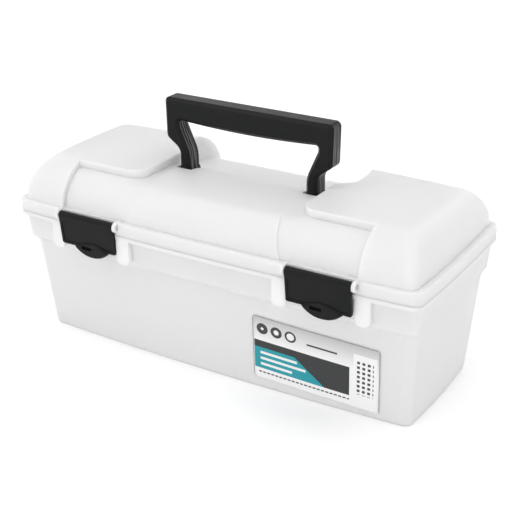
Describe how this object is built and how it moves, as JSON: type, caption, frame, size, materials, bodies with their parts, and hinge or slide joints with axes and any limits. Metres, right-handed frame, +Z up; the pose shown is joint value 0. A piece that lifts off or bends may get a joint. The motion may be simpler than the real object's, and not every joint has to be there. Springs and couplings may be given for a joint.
{
  "type": "lift-out tray box",
  "caption": "Long frosted plastic box with domed hinged lid, folding bail handle, swing latches and a divided tray that lifts out.",
  "frame": {"origin": "middle of the face that the box stands on", "axes": "+X along the box's length, to the right seen from the latches; +Y to the hinges at the back; +Z up"},
  "size_m": [0.346, 0.1606, 0.1942],
  "materials": {
    "frosted_tub": "frosted, see-through polypropylene, satin",
    "frosted_lid": "frosted, see-through polypropylene, satin",
    "frosted_tray": "frosted, see-through polypropylene, satin",
    "black_handle": "fine satin moulding",
    "black_latch": "fine satin moulding",
    "pin_steel": "drawn wire"
  },
  "bodies": {
    "base": {"base_tub": "frosted_tub", "hinge_pin_left": "pin_steel", "hinge_pin_right": "pin_steel"},
    "lid": {"lid_shell": "frosted_lid"},
    "handle": {"carry_handle": "black_handle"},
    "left_latch": {"latch_left": "black_latch"},
    "right_latch": {"latch_right": "black_latch"},
    "tray": {"lift_out_tray": "frosted_tray"}
  },
  "joints": [
    {"name": "lid_hinge", "type": "hinge", "parent": "base", "child": "lid", "pos_m": [0, 0.0788, 0.1047], "axis": [-1, 0, 0], "range_deg": [0, 105]},
    {"name": "tray_lift", "type": "slide", "parent": "base", "child": "tray", "axis": [0, 0, 1], "range_m": [0, 0.048]},
    {"name": "handle_fold", "type": "hinge", "parent": "lid", "child": "handle", "pos_m": [0, 0, 0.1345], "axis": [-1, 0, 0], "range_deg": [0, 90]},
    {"name": "left_latch_swing", "type": "hinge", "parent": "lid", "child": "left_latch", "pos_m": [-0.0989, -0.0746, 0.1112], "axis": [-1, 0, 0], "range_deg": [0, 105]},
    {"name": "right_latch_swing", "type": "hinge", "parent": "lid", "child": "right_latch", "pos_m": [0.0989, -0.0746, 0.1112], "axis": [-1, 0, 0], "range_deg": [0, 105]}
  ],
  "couplings": [
    {"joint": "tray_lift", "follows": "lid_hinge", "m_per_rad": 0.0258}
  ]
}
